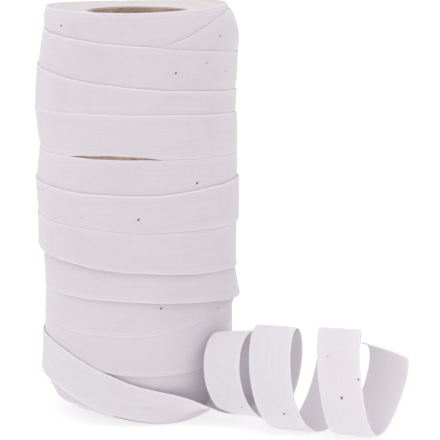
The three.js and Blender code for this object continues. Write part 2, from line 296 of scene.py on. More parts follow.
def unit(v):
    return v / np.linalg.norm(v, axis=-1, keepdims=True)


def helix_keys(left, right):
    """Values read down the helix, four to a turn: the mean with the turn above at the back, the
    left, the mean of both sides at the front, and the right."""
    before = np.concatenate([right[:1], right[:-1]])
    return np.stack([(before + left) / 2, left, (left + right) / 2, right], 1).ravel()


PLACES = np.arange(4 * TURN_COUNT + 1) / 4
EDGE_HEIGHTS = np.append(np.stack([TURNS[side] for side in TURN_COLUMNS[:4]], 1).ravel(), 0)
UPPER_RADII = np.append(helix_keys(TURNS["upper_left"], TURNS["upper_right"]), FOOT[0, 1])
LOWER_RADII = np.append(helix_keys(TURNS["lower_left"], TURNS["lower_right"]), FOOT[0, 1])


def ring_value(back, left, front, right, fraction):
    """A value around one closed ring, at a fraction of the way from the back over the left."""
    keys = np.array([right, back, left, front, right, back, left])
    return through(np.arange(-1, 6) / 4, keys, fraction)


def rim(fraction):
    """Height and radius of the top rim, the top turn's upper edge closed on itself."""
    height = ring_value(*(TURNS[side][0] for side in TURN_COLUMNS[:4]), fraction)
    left, right = TURNS["upper_left"][0], TURNS["upper_right"][0]
    mean = (left + right) / 2
    return height, ring_value(mean, left, mean, right, fraction)


def near_hollow(angle):
    return bell(angle, HOLLOW_AT, HOLLOW_SPREAD)


def foot_edge(angle):
    """Height and radius of the base's edge."""
    return FOOT_LIFT * near_hollow(angle), through(FOOT[:, 0], FOOT[:, 1], angle)


def upper_edge(k, fraction):
    """Height and radius of a turn's upper edge. The top one is the rim, and the one past the last
    turn is the edge of the base."""
    if k == 0:
        return rim(fraction)
    if k == TURN_COUNT:
        return foot_edge(angle_at(fraction))
    place = k + fraction
    waver = 0.12 * np.sin(46 * place + 1) + 0.07 * np.sin(107 * place + 2)
    return through(PLACES, EDGE_HEIGHTS, place) + waver, through(PLACES, UPPER_RADII, place)


def lap_at(place):
    """How far a turn's upper edge lies over the turn above, drawn along the helix."""
    return np.interp(place, np.arange(TURN_COUNT) + 0.5, TURNS["lap"])


def turn_surface(k, fraction, across):
    """Height and radius on a turn: straight between its two edges, plus a bulge of four a (1 - a)
    across it, a slow dent that runs along the helix, and a lip where an edge lies over its
    neighbour. Across is 0 at the upper edge and 1 at the lower one."""
    top, top_radius = upper_edge(k, fraction)
    low, next_radius = upper_edge(k + 1, fraction)
    place = k + fraction
    low_radius = next_radius if k + 1 == TURN_COUNT else through(PLACES, LOWER_RADII, place)
    width = top - low
    bulge = np.interp(place, np.arange(TURN_COUNT) + 0.5, TURNS["bulge"])
    middle = 4 * across * (1 - across)
    dent = 0.09 * np.sin(17.3 * place + 3 * across) + 0.06 * np.sin(41.1 * place - 2 * across)
    thin = np.clip(width / 5, 0, 1)
    up_lap = lap_at(place) * thin
    low_lap = -lap_at(place + 1) * thin
    from_top = across * width
    from_low = (1 - across) * width
    lip = 0.0
    for lap, distance in ((up_lap, from_top), (low_lap, from_low)):
        raised = smooth(*LIP_RISES, distance) * (1 - smooth(*LIP_FADES, distance))
        lip = lip + np.maximum(lap, 0) * raised
    radius = top_radius + (low_radius - top_radius) * across + (bulge + dent) * middle + lip
    angle = angle_at(fraction)
    height = top - width * across
    if k == 0:
        radius = radius + SHOULDER_OUT * middle * bell(angle, SHOULDER_AT, SHOULDER_SPREAD)
    drawn_in = smooth(0, 2, height) * (1 - smooth(4, 9, height))
    radius = radius - FOOT_HOLLOW * drawn_in * near_hollow(angle)
    return height, radius


def wound_radius(angle, height):
    """How far out the wound surface reaches at an angle and height, read from the turn there."""
    angle, height = np.broadcast_arrays(np.asarray(angle, float), np.asarray(height, float))
    fraction = np.mod(angle + 180, 360) / 360
    radius = foot_edge(angle_at(fraction))[1]
    for k in reversed(range(TURN_COUNT)):
        top = upper_edge(k, fraction)[0]
        low = upper_edge(k + 1, fraction)[0]
        across = np.clip((top - height) / np.maximum(top - low, 0.01), 0, 1)
        radius = np.where(height > low, turn_surface(k, fraction, across)[1], radius)
    return radius


def lattice_triangles(ids):
    """Two triangles for each cell of a lattice. ids gives each place its point, so places that
    share a point close the surface. Gives the triangles' places, their points, and which of them
    are whole, because one that loses a side where points are shared is dropped."""
    place = np.arange(ids.size).reshape(ids.shape)
    a, b, c, d = place[:-1, :-1], place[:-1, 1:], place[1:, 1:], place[1:, :-1]
    halves = [np.stack(three, -1).reshape(-1, 3) for three in ((a, b, c), (a, c, d))]
    triangles = np.concatenate(halves)
    corners = ids.ravel()[triangles]
    return triangles, corners, (corners != np.roll(corners, 1, axis=1)).all(axis=1)


def closed(ids):
    """A lattice whose last column is its first again."""
    return np.concatenate([ids, ids[:, :1]], 1)


def new_piece(name, points, corners, materials):
    """A smooth mesh object from points in millimetres from the roll's axis."""
    mesh = bpy.data.meshes.new(name)
    mesh.from_pydata((points * MM + ROLL_AXIS).tolist(), [], corners.tolist())
    for material in materials:
        mesh.materials.append(material)
    mesh.polygons.foreach_set("use_smooth", np.ones(len(corners), bool))
    mesh.update()
    piece = bpy.data.objects.new(name, mesh)
    bpy.context.scene.collection.objects.link(piece)
    return piece


def skin(name, points, ids, uv, finish, materials, crease=CREASE):
    """A mesh over a lattice of places, with its map in millimetres. finish picks a material for
    each cell."""
    triangles, corners, whole = lattice_triangles(ids)
    cells = (ids.shape[0] - 1, ids.shape[1] - 1)
    slots = np.tile(np.broadcast_to(finish, cells).ravel(), 2)
    piece = new_piece(name, points, corners[whole], materials)
    layer = piece.data.uv_layers.new(name="Cloth")
    layer.data.foreach_set("uv", uv.reshape(-1, 2)[triangles[whole]].astype(np.float32).ravel())
    piece.data.polygons.foreach_set("material_index", slots[whole].astype(np.int32))
    piece.data.set_sharp_from_angle(angle=math.radians(crease))
    piece.data.update()
    return piece


def strip_normals(middle):
    """The way square to a strip at each place, along it crossed with across it. It points into
    the curl on the loose end, whose width runs upwards."""
    return unit(np.cross(np.gradient(middle, axis=0), np.gradient(middle, axis=1)))


def ribbon_strip(name, middle, thickness, along, across, materials, finish=0):
    """A strip of cloth around a grid of middle points, stations by places across. Its section runs
    out along the outer face and back along the inner one: each side is the middle plus or minus
    half the thickness along the grid's normal, a little more just inside the woven edges and less
    at the edges themselves. At each end the section closes on the middle."""
    stations, places = middle.shape[:2]
    normal = strip_normals(middle)
    side = np.linspace(-1, 1, places)
    edge = 1 - np.abs(side)
    bead = 0.55 + 0.45 * smooth(0, 0.06, edge) + 0.3 * bell(edge, 0.09, 0.06)
    reach = (thickness / 2 * bead)[None, :, None] * normal
    outer, inner = middle + reach, middle - reach
    section = np.concatenate([outer, inner[:, ::-1]], 1)
    points = np.concatenate([section.reshape(-1, 3), middle[0], middle[-1]])
    count = 2 * places
    ids = np.arange(stations * count).reshape(stations, count)
    cap = np.concatenate([np.arange(places), np.arange(places)[::-1]])
    first = stations * count + cap
    ids = np.concatenate([first[None], ids, first[None] + places])
    ids = closed(ids)
    u = np.concatenate([along[:1], along, along[-1:]])
    v = np.concatenate([across, across[::-1], across[:1]])
    uv = np.stack(np.meshgrid(u, v, indexing="ij"), -1)
    return skin(name, points, ids, uv, finish, materials, crease=STRIP_CREASE)


def shown_across(k, fraction, across):
    """Millimetres across the ribbon at a place across a turn. A turn whose upper edge lies on top
    counts from it, one whose lower edge does counts back from that, and one between is centred."""
    fraction = np.minimum(fraction, 1 - 1e-6)
    width = np.minimum(upper_edge(k, fraction)[0] - upper_edge(k + 1, fraction)[0], RIBBON_WIDTH)
    upper_shows = TURNS["lap"][k] >= 0
    lower_shows = k + 1 < TURN_COUNT and TURNS["lap"][k + 1] < 0
    if upper_shows and lower_shows:
        return RIBBON_WIDTH * (across + 0 * width)
    if upper_shows:
        return width * across
    if lower_shows:
        return RIBBON_WIDTH - width * (1 - across)
    return RIBBON_WIDTH / 2 + width * (across - 0.5)


def winding_grid():
    """The wound body as a lattice. Columns run around the roll and rows down it: the turns' rows,
    which start one turn lower after each time around, then the base, the bore's wall and the top
    face, which is a dish of ridges along a spiral."""
    per_turn = len(ACROSS_TURN)
    fraction = np.arange(AROUND_STEPS) / AROUND_STEPS
    angle = angle_at(fraction)
    outer = []
    for k in range(TURN_COUNT):
        for across in ACROSS_TURN:
            height, radius = turn_surface(k, fraction, across + 0 * fraction)
            outer.append(on_ring(angle, radius, height))
    rim_height, rim_radius = rim(fraction)
    outer[0] = on_ring(angle, rim_radius, rim_height)

    foot_height, foot_radius = foot_edge(angle)
    base = [on_ring(angle, foot_radius, foot_height)]
    for step in np.linspace(0, 1, BASE_ROWS + 1)[1:]:
        radius = foot_radius + (WINDING_BORE - foot_radius) * step
        ridge = layer_ridge(radius, fraction, FOOT_RIDGE) * smooth(0, 0.1, step)
        base.append(on_ring(angle, radius, foot_height + ridge))
    heights = np.linspace(3, DISH_HEIGHT - 3, WALL_ROWS)
    wall = [on_ring(angle, WINDING_BORE, height + 0 * angle) for height in heights]
    top = []
    for step in np.linspace(0, 1, TOP_ROWS + 1)[:-1]:
        radius = WINDING_BORE + (rim_radius - WINDING_BORE) * step
        dish = DISH_HEIGHT + (rim_height - DISH_HEIGHT) * step ** 1.2
        fade = smooth(0, 0.04, step) * (1 - smooth(0.95, 1, step))
        top.append(on_ring(angle, radius, dish - layer_ridge(radius, fraction, TOP_RIDGE) * fade))
    rows = np.stack(outer + base + wall + top, 1)
    foot_row = len(outer)
    levels = rows.shape[1]

    ids = np.arange(AROUND_STEPS * levels).reshape(AROUND_STEPS, levels)
    ids[0, 1:per_turn + 1] = ids[0, 0]
    shifted = np.arange(levels)
    shifted[1:foot_row] = np.minimum(shifted[1:foot_row] + per_turn, foot_row)
    ids = np.concatenate([ids, ids[:1, shifted]])
    ids = closed(ids)

    turn, row = np.divmod(np.arange(foot_row), per_turn)
    whole = np.arange(AROUND_STEPS + 1) / AROUND_STEPS
    around_length = 2 * math.pi * WINDING_RADIUS
    u = np.zeros((AROUND_STEPS + 1, levels + 1))
    v = np.zeros_like(u)
    u[:, :foot_row] = around_length * (whole[:, None] + turn[None])
    for k in range(TURN_COUNT):
        here = turn == k
        v[:, :foot_row][:, here] = shown_across(k, whole[:, None], ACROSS_TURN[row][here])
    u[:, foot_row:] = END_MAP_TURN * whole[:, None]
    radius = np.linalg.norm(rows[..., :2], axis=-1)
    v[:-1, foot_row:-1] = radius[:, foot_row:]
    v[-1, foot_row:-1] = radius[0, foot_row:]
    v[:, -1] = v[:, -2]
    finish = np.zeros((AROUND_STEPS, levels), int)
    finish[:, foot_row:] = 1
    return rows.reshape(-1, 3), ids, np.stack([u, v], -1), finish


def layer_ridge(radius, fraction, depth):
    """How far the end face lies below its ridges. A layer's number is the radius over the layer
    pitch less the fraction of a turn, so the layers form one spiral. Each ridge is a parabola
    across its layer, and sits a little higher or lower by three sines of the place along it."""
    wound = radius / LAYER_PITCH - fraction
    layer = np.floor(wound)
    across = 2 * (wound - layer) - 1
    along = layer + fraction
    uneven = 0.3 * np.sin(4.3 * along) + 0.25 * np.sin(11.7 * along + 1) + 0.2 * np.sin(29 * along + 2)
    return depth * (0.55 * across ** 4 + 0.45 * (0.5 + 0.5 * uneven))


def slit_cutter(materials):
    """The lens that parts two turns: at each angle a slot from its back to past the surface, as high
    as a parabola of the angle. Its back takes the tube's board colour, a painted brown shade."""
    angle = np.linspace(SLIT_FROM, SLIT_TO, 60)
    middle, half = (SLIT_FROM + SLIT_TO) / 2, (SLIT_TO - SLIT_FROM) / 2
    opening = SLIT_WIDEST * (1 - ((angle - middle) / half) ** 2) + 0.02
    low = upper_edge(SLIT_TURN, (angle + 180) / 360)[0] - 0.05
    inner, back = wound_radius(angle, low + opening / 2) - SLIT_DEPTH, low - SLIT_DROP
    corners = [(inner, back), (inner, back + opening), (SLIT_REACH, low + opening), (SLIT_REACH, low)]
    section = np.stack([on_ring(angle, radius, height) for radius, height in corners], 1)
    ends = np.stack([section[0].mean(0), section[-1].mean(0)])
    points = np.concatenate([section.reshape(-1, 3), ends])
    ids = np.arange(len(angle) * 4).reshape(-1, 4)
    cap = np.full((1, 4), len(angle) * 4)
    ids = np.concatenate([cap, ids, cap + 1])
    ids = closed(ids)
    uv = np.zeros((*ids.shape, 2))
    uv[..., 1] = np.array([0, 2, 4, 6, 8])
    uv[..., 0] = np.linspace(0, 46, len(ids))[:, None]
    # The back of the slit takes the tube's board colour as painted shade; its sides and mouth take the
    # ribbon edges.
    return skin("slit_cutter", points, ids, uv, np.array([2, 1, 1, 1]), materials)


def cut_away(piece, cutter):
    """Cuts the cutter out of the piece for good, and removes the cutter."""
    cut = piece.modifiers.new("Slit", "BOOLEAN")
    cut.operation = "DIFFERENCE"
    cut.solver = "EXACT"
    cut.object = cutter
    graph = bpy.context.evaluated_depsgraph_get()
    mesh = bpy.data.meshes.new_from_object(piece.evaluated_get(graph))
    old = piece.data
    piece.modifiers.clear()
    piece.data = mesh
    bpy.data.meshes.remove(old)
    bpy.data.objects.remove(cutter)
    mesh.set_sharp_from_angle(angle=math.radians(CREASE))


def station_on_roll(angle, clear):
    """A station on the roll: the ribbon's middle and the way its outer face looks. Before the
    place where it comes out of the winding, it lies inside the wound surface."""
    height, lean, off = (through(LAID_ON_ROLL["angle"], LAID_ON_ROLL[name], angle)
                         for name in LAID_COLUMNS[1:])
    lean = np.radians(lean)
    off = off + clear * smooth(TUCKED_UNTIL - 4, TUCKED_UNTIL + 26, angle)
    off = off - TUCKED_DEPTH * (1 - smooth(TUCKED_UNTIL - 8, TUCKED_UNTIL + 6, angle))
    middle = on_ring(angle, wound_radius(angle, height) + off, height)
    return middle, on_ring(angle, np.cos(lean), -np.sin(lean))


def station_on_curl(turn):
    """A station on the curl: the middle of its turn plus a spoke of its radius, which starts
    straight down and swings up the far side, over and down the near one."""
    x, y, radius, lift, yaw, lean = (through(CURL["turn"], CURL[name], turn)
                                     for name in CURL_COLUMNS[1:])
    yaw, lean, around = np.radians(yaw), np.radians(lean), 2 * math.pi * np.asarray(turn)
    near = np.stack([-np.sin(yaw), -np.cos(yaw), 0 * yaw], -1)
    axis = np.stack([np.cos(yaw), -np.sin(yaw), 0 * yaw], -1)
    up = np.array([0.0, 0.0, 1.0])
    spoke = -np.sin(around)[..., None] * near - np.cos(around)[..., None] * up
    middle = np.stack([x, y, lift + radius], -1) + radius[..., None] * spoke
    return middle, np.cos(lean)[..., None] * spoke - np.sin(lean)[..., None] * axis


def crossing(start, start_way, start_out, end, end_way, end_out):
    """The ribbon between roll and curl: a cubic Bezier curve that leaves and arrives in line, while
    the outer face turns smoothly from one way to the other."""
    s = (np.arange(1, CROSSING_STATIONS) / CROSSING_STATIONS)[:, None]
    path = (1 - s) ** 3 * start + 3 * s * (1 - s) ** 2 * (start + CROSSING_PULL * start_way)
    path = path + 3 * s * s * (1 - s) * (end - CROSSING_PULL * end_way) + s ** 3 * end
    turned = s * s * (3 - 2 * s)
    return path, unit(start_out + (end_out - start_out) * turned)


def kept_off(points, clear):
    """Points moved straight out of the wound body, or up off the surface, where they are too near."""
    angle = np.degrees(np.arctan2(points[..., 0], -points[..., 1]))
    reach = clear + np.max([wound_radius(angle, points[..., 2] + dz) for dz in (-0.6, 0, 0.6)], axis=0)
    radius = np.hypot(points[..., 0], points[..., 1])
    out = np.maximum(radius, reach) / radius
    height = np.maximum(points[..., 2], clear)
    return np.stack([points[..., 0] * out, points[..., 1] * out, height], -1)


def loose_end_grid(thickness):
    """The loose end's middle surface: its stations on the roll, over the crossing and around the
    curl, each carried across the ribbon's width. The cut end is slanted by reading the curl
    further on towards the lower edge."""
    clear = OFF_THE_ROLL + thickness / 2
    roll_angle = np.linspace(STARTS_AT, LEAVES_AT, ROLL_STATIONS)
    roll, roll_out = station_on_roll(roll_angle, clear)
    turn = np.linspace(CURL_START, CURL_END, CURL_STATIONS)
    curl, curl_out = station_on_curl(turn)
    way_off = unit(roll[-1] - roll[-2])
    way_on = unit(curl[1] - curl[0])
    cross, cross_out = crossing(roll[-1], way_off, roll_out[-1], curl[0], way_on, curl_out[0])
    middle = np.concatenate([roll, cross, curl])
    outward = np.concatenate([roll_out, cross_out, curl_out])
    forward = unit(np.gradient(middle, axis=0))
    down = unit(np.cross(outward, forward))
    side = np.linspace(-1, 1, LOOSE_PLACES)
    on_curl = len(roll) + len(cross)
    slant = CUT_SLANT * smooth(CURL_END - CUT_RUN, CURL_END, turn)
    grid = np.repeat(middle[:, None], len(side), 1)
    grid[on_curl:] = station_on_curl(turn[:, None] + slant[:, None] * side)[0]
    grid = grid - down[:, None] * (side * RIBBON_WIDTH / 2)[None, :, None]
    length = np.concatenate([[0], np.cumsum(np.linalg.norm(np.diff(middle, axis=0), axis=1))])
    bow = 0.35 * np.sin(length / 31 + 1) + 0.2 * np.sin(length / 13.7)
    ease = smooth(0, 40, length - length[on_curl])
    grid = grid + (bow * ease)[:, None, None] * (1 - side ** 2)[None, :, None] * outward[:, None]
    along_roll = np.concatenate([roll_angle, np.full(len(cross) + len(curl), 180.0)])
    free = smooth(TUCKED_UNTIL + 10, TUCKED_UNTIL + 30, along_roll)[:, None]
    grid = grid + (kept_off(grid, clear) - grid) * free[..., None]
    return grid, length, (side + 1) * RIBBON_WIDTH / 2


def top_wrap_grid(thickness):
    """The outer wrap at the top: its upper edge follows the table, it lies on the wound surface,
    and below the top turn's lower edge it slips under the next turn."""
    angle = np.linspace(WRAP_FROM, WRAP_TO, WRAP_STATIONS)[:, None]
    side = np.linspace(0, 1, WRAP_PLACES)[None]
    height = through(TOP_WRAP["angle"], TOP_WRAP["height"], angle) - RIBBON_WIDTH * side
    fraction = (angle + 180) / 360
    edge = upper_edge(1, fraction)[0]
    hidden = 1 - smooth(edge - 0.6, edge + 0.8, height)
    ends = (1 - smooth(8, 18, angle)) + smooth(120, 150, angle)
    off = OFF_UNDER_WRAP + thickness / 2 - WRAP_TUCK * np.maximum(hidden, np.clip(ends, 0, 1))
    rim_height = rim(fraction)[0]
    height = np.minimum(height, rim_height - 0.3)
    grid = on_ring(angle, wound_radius(angle, height) + off, height)
    return grid, WRAP_RADIUS * np.radians(angle[:, 0]), RIBBON_WIDTH * side[0]


def blob_mesh(name, places, out, along, sizes, material):
    """Small flat lumps, all in one mesh: each is a dome of three rings and a top, twelve points to
    a ring, with a ring's radius wavering by the angle, laid at its place with its own length,
    width and turn."""
    ring = np.arange(BLOB_POINTS) * 2 * math.pi / BLOB_POINTS
    waver = 1 + 0.22 * np.sin(3 * ring + 1) + 0.1 * np.sin(5 * ring)
    local = [np.stack([radius * waver * np.cos(ring), radius * waver * np.sin(ring), 0 * ring + lift], -1)
             for radius, lift in BLOB_RINGS]
    local = np.concatenate([*local, [[0, 0, 1.0]], [[0, 0, -0.5]]])
    turned = np.radians(sizes[:, 2])[:, None]
    x = local[None, :, 0] * sizes[:, 0:1] / 2
    y = local[None, :, 1] * sizes[:, 1:2] / 2
    u = (x * np.cos(turned) - y * np.sin(turned))[..., None]
    v = (x * np.sin(turned) + y * np.cos(turned))[..., None]
    across = np.cross(out, along)
    lift = BLOB_HEIGHT * local[None, :, 2, None]
    points = places[:, None] + u * along[:, None] + v * across[:, None] + lift * out[:, None]
    rings = np.arange(3 * BLOB_POINTS).reshape(3, BLOB_POINTS)
    top = np.full((1, BLOB_POINTS), 3 * BLOB_POINTS)
    ids = np.concatenate([top + 1, rings, top])
    ids = closed(ids)
    _, corners, whole = lattice_triangles(ids)
    first = np.arange(len(places)) * len(local)
    every = (corners[whole][None] + first[:, None, None]).reshape(-1, 3)
    return new_piece(name, points.reshape(-1, 3), every, [material])


def fill(tree, made, inputs):
    """Gives a node's sockets, by name or number, a value each or a link from another's output."""
    for key, value in inputs.items():
        if isinstance(value, bpy.types.NodeSocket):
            tree.links.new(value, made.inputs[key])
        else:
            made.inputs[key].default_value = value


def node(tree, kind, inputs=None, **settings):
    """A new shader node, with its settings and what goes into its sockets."""
    made = tree.nodes.new(kind)
    for name, value in settings.items():
        setattr(made, name, value)
    fill(tree, made, inputs or {})
    return made


def formula(tree, operation, *values):
    return node(tree, "ShaderNodeMath", dict(enumerate(values)), operation=operation).outputs[0]


def plus(tree, one, other):
    return formula(tree, "ADD", one, other)


def less(tree, one, other):
    return formula(tree, "SUBTRACT", one, other)


def times(tree, one, other):
    return formula(tree, "MULTIPLY", one, other)


def apart(tree, one, other):
    return formula(tree, "ABSOLUTE", less(tree, one, other))


def object_place(tree):
    return node(tree, "ShaderNodeTexCoord").outputs["Object"]


def ramp_value(tree, value, low, high, to_low=0.0, to_high=1.0):
    """A smooth step of a value between two limits, onto two others."""
    sockets = {"Value": value, "From Min": low, "From Max": high, "To Min": to_low, "To Max": to_high}
    return node(tree, "ShaderNodeMapRange", sockets, interpolation_type="SMOOTHSTEP").outputs["Result"]


def noise(tree, vector, scale, detail=2.0, roughness=0.5):
    sockets = {"Vector": vector, "Scale": scale, "Detail": detail, "Roughness": roughness}
    return node(tree, "ShaderNodeTexNoise", sockets).outputs["Fac"]


def mixed(tree, share, one, other):
    return node(tree, "ShaderNodeMix", {0: share, 6: one, 7: other}, data_type="RGBA").outputs[2]


def group_tree(name, inputs, outputs):
    """An empty node group with named number sockets."""
    tree = bpy.data.node_groups.new(name, "ShaderNodeTree")
    for title, default in inputs:
        socket = tree.interface.new_socket(title, in_out="INPUT", socket_type="NodeSocketFloat")
        socket.default_value = default
    for title in outputs:
        tree.interface.new_socket(title, in_out="OUTPUT", socket_type="NodeSocketFloat")
    entry = tree.nodes.new("NodeGroupInput")
    return tree, entry.outputs, tree.nodes.new("NodeGroupOutput")


def weave_group():
    """Cotton tape weave. Warp and weft are sines of the place across and along, their product is
    the weave's height, and long thin noise gives the uneven threads. The woven edge is a mask that
    raises the bump and that the ribbon material uses for a painted highlight."""
    inputs = [("Along", 0.0), ("Across", 0.0), ("Thread Pitch", 0.5), ("Width", RIBBON_WIDTH)]
    tree, given, result = group_tree("Ribbon weave", inputs, ["Height", "Shade", "Woven Edge"])
    along, across = given["Along"], given["Across"]
    full_turn = formula(tree, "DIVIDE", 2 * math.pi, given["Thread Pitch"])
    warp = formula(tree, "SINE", times(tree, across, full_turn))
    weft = formula(tree, "SINE", times(tree, along, full_turn))
    long_place, short_place = (node(tree, "ShaderNodeCombineXYZ", {
        "X": times(tree, along, along_scale),
        "Y": times(tree, across, across_scale),
    }).outputs[0] for along_scale, across_scale in ((0.035, 1.3), (1.1, 0.09)))
    threads = noise(tree, long_place, 1.0, 3.0, 0.6)
    picks = noise(tree, short_place, 1.0, 2.0, 0.55)
    near = formula(tree, "MINIMUM", across, less(tree, given["Width"], across))
    outer_line = ramp_value(tree, apart(tree, near, 0.5), 0.5, 0.2)
    inner_line = ramp_value(tree, apart(tree, near, 1.9), 0.35, 0.1)
    edge = formula(tree, "MAXIMUM", outer_line, times(tree, inner_line, 0.6))
    uneven = plus(tree, times(tree, threads, 0.8), times(tree, picks, 0.2))
    height = plus(tree, times(tree, times(tree, warp, weft), 0.1), uneven)
    height = plus(tree, height, times(tree, edge, 0.35))
    fill(tree, result, {"Height": height, "Shade": uneven, "Woven Edge": edge})


def handling_group():
    """Soft grey marks of handling and pressing: two sizes of noise over the object's own place."""
    tree, given, result = group_tree("Handling marks", [("Scale", 30.0), ("Amount", 1.0)], ["Mark"])
    place = object_place(tree)
    broad = noise(tree, place, given["Scale"], 3.0, 0.55)
    fine = noise(tree, place, times(tree, given["Scale"], 9.0), 2.0, 0.6)
    both = plus(tree, times(tree, broad, 0.7), times(tree, fine, 0.3))
    mark = ramp_value(tree, both, 0.42, 0.72)
    fill(tree, result, {"Mark": times(tree, mark, given["Amount"])})


def group_outputs(tree, title, inputs):
    """What a node group puts out when it is placed in a material with its own values."""
    group = bpy.data.node_groups[title]
    return node(tree, "ShaderNodeGroup", inputs, node_tree=group).outputs


def handling_mark(tree, scale, amount):
    return group_outputs(tree, "Handling marks", {"Scale": scale, "Amount": amount})["Mark"]


def new_material(name):
    """A material whose Principled shader already feeds the output."""
    material = bpy.data.materials.new(name)
    material.use_nodes = True
    tree = material.node_tree
    return tree, tree.nodes["Principled BSDF"]


def bumped(tree, height, strength, distance):
    sockets = {"Height": height, "Strength": strength, "Distance": distance}
    return node(tree, "ShaderNodeBump", sockets).outputs[0]


def shade_of(colour, factor):
    return (*(channel * factor for channel in colour), 1.0)


def cloth_places(tree):
    """Along and across the ribbon, in millimetres, from the piece's own map."""
    uv = node(tree, "ShaderNodeUVMap", uv_map="Cloth").outputs[0]
    split = node(tree, "ShaderNodeSeparateXYZ", {0: uv}).outputs
    return split["X"], split["Y"]


def ribbon_material(name, colour):
    """Woven cotton: pale, with uneven threads, lighter lines along the woven edge that are a painted
    highlight, and faint marks. One smudge is placed by its distance from a point on the roll."""
    tree, shader = new_material(name)
    along, across = cloth_places(tree)
    sockets = {"Along": along, "Across": across, "Thread Pitch": 0.55, "Width": RIBBON_WIDTH}
    cloth = group_outputs(tree, "Ribbon weave", sockets)
    threads = ramp_value(tree, cloth["Shade"], 0.3, 0.7)
    plain = mixed(tree, threads, shade_of(colour, 0.975), shade_of(colour, 1.02))
    soiled = mixed(tree, handling_mark(tree, 32.0, 0.8), plain, shade_of(colour, 0.95))
    place = object_place(tree)
    centre = tuple(on_ring(*SMUDGE_AT) * MM + ROLL_AXIS)
    gap = node(tree, "ShaderNodeVectorMath", {0: place, 1: centre}, operation="DISTANCE").outputs["Value"]
    cloud = times(tree, noise(tree, place, 400.0), 0.006)
    smudge = ramp_value(tree, plus(tree, gap, cloud), 0.0085, 0.003, 0.0, 0.55)
    soiled = mixed(tree, smudge, soiled, (*(np.array(colour) * SMUDGE_TINT), 1.0))
    # The woven edge's lines are lightened in the colour: a painted highlight along the edges.
    edge_highlight_share = times(tree, cloth["Woven Edge"], 0.8)
    fill(tree, shader, {
        "Base Color": mixed(tree, edge_highlight_share, soiled, shade_of(colour, 1.07)),
        "Roughness": ramp_value(tree, cloth["Shade"], 0.2, 0.8, 0.92, 0.8),
        "Sheen Weight": 0.03,
        "Sheen Roughness": 0.5,
        "Specular IOR Level": 0.15,
        "Normal": bumped(tree, cloth["Height"], 0.2, 0.0002),
        "Subsurface Scale": LIGHT_REACH[name],
        **LIGHT_INSIDE,
    })


def ribbon_edges_material(name, colour):
    """The ends of the roll, where the ribbon's edges lie side by side along a spiral. The piece's
    map holds the place around the roll and the radius."""
    tree, shader = new_material(name)
    around, radius = cloth_places(tree)
    layers_out = formula(tree, "DIVIDE", radius, LAYER_PITCH)
    wound = less(tree, layers_out, formula(tree, "DIVIDE", around, END_MAP_TURN))
    layer_place = apart(tree, formula(tree, "FRACT", wound), 0.5)
    fine_place = apart(tree, formula(tree, "FRACT", times(tree, wound, 2.0)), 0.5)
    # The grooves between layers are darkened in the colour as painted shade, and sunk in the bump; the
    # handling marks add real soiling.
    gap = ramp_value(tree, layer_place, 0.36, 0.5)
    fine_gap = ramp_value(tree, fine_place, 0.38, 0.5)
    fibre = noise(tree, object_place(tree), 2200.0, 2.0, 0.6)
    groove_shade_and_marks = plus(tree, times(tree, gap, 0.6), times(tree, fine_gap, 0.3))
    groove_shade_and_marks = plus(tree, groove_shade_and_marks, times(tree, handling_mark(tree, 60.0, 0.8), 0.2))
    groove_shade_and_marks = formula(tree, "MINIMUM", groove_shade_and_marks, 1.0)
    height = less(tree, times(tree, fibre, 0.4), groove_shade_and_marks)
    fill(tree, shader, {
        "Base Color": mixed(tree, groove_shade_and_marks, shade_of(colour, 1.0), shade_of(colour, 0.8)),
        "Roughness": ramp_value(tree, fibre, 0.2, 0.8, 0.8, 0.95),
        "Specular IOR Level": 0.2,
        "Normal": bumped(tree, height, 0.5, 0.0003),
        "Subsurface Scale": LIGHT_REACH[name],
        **LIGHT_INSIDE,
    })


def board_material(name, colour):
    """Grey-brown tube board: long fibres, a slanting seam where the paper plies meet, and scuffs."""
    tree, shader = new_material(name)
    around, height_place = cloth_places(tree)
    slanted = plus(tree, height_place, times(tree, around, 0.55))
    ply = formula(tree, "FRACT", formula(tree, "DIVIDE", slanted, 37.0))
    seam = ramp_value(tree, apart(tree, ply, 0.5), 0.018, 0.006)
    place = object_place(tree)
    fibres = noise(tree, place, 700.0, 4.0, 0.65)
    clouds = noise(tree, place, 90.0, 3.0, 0.55)
    tone = plus(tree, times(tree, fibres, 0.45), times(tree, clouds, 0.55))
    tone = ramp_value(tree, tone, 0.35, 0.65)
    board = mixed(tree, tone, shade_of(colour, 0.75), shade_of(colour, 1.3))
    scuffs = times(tree, handling_mark(tree, 70.0, 1.0), 0.5)
    scuffed = mixed(tree, scuffs, board, shade_of(colour, 1.6))
    fill(tree, shader, {
        "Base Color": mixed(tree, seam, scuffed, shade_of(colour, 0.75)),
        "Roughness": ramp_value(tree, fibres, 0.3, 0.7, 0.95, 0.8),
        "Specular IOR Level": 0.25,
        "Normal": bumped(tree, less(tree, fibres, seam), 0.4, 0.0002),
    })


def speck_material(name, colour):
    """Dark seed: mottled by noise."""
    tree, shader = new_material(name)
    mottle = noise(tree, object_place(tree), 1500.0, 2.0, 0.5)
    fill(tree, shader, {
        "Base Color": mixed(tree, mottle, shade_of(colour, 0.6), shade_of(colour, 1.5)),
        "Roughness": 0.8,
        "Normal": bumped(tree, mottle, 0.3, 0.0001),
    })


def floor_material(name, colour):
    """Pale paper with a faint grain, which glows a little."""
    tree, shader = new_material(name)
    grain = noise(tree, object_place(tree), 25.0, 3.0, 0.5)
    fill(tree, shader, {
        "Base Color": mixed(tree, grain, shade_of(colour, 0.99), shade_of(colour, 1.0)),
        "Roughness": 1.0,
        "Specular IOR Level": 0.0,
        "Emission Color": (1.0, 1.0, 1.0, 1.0),
        "Emission Strength": FLOOR_GLOW,
    })


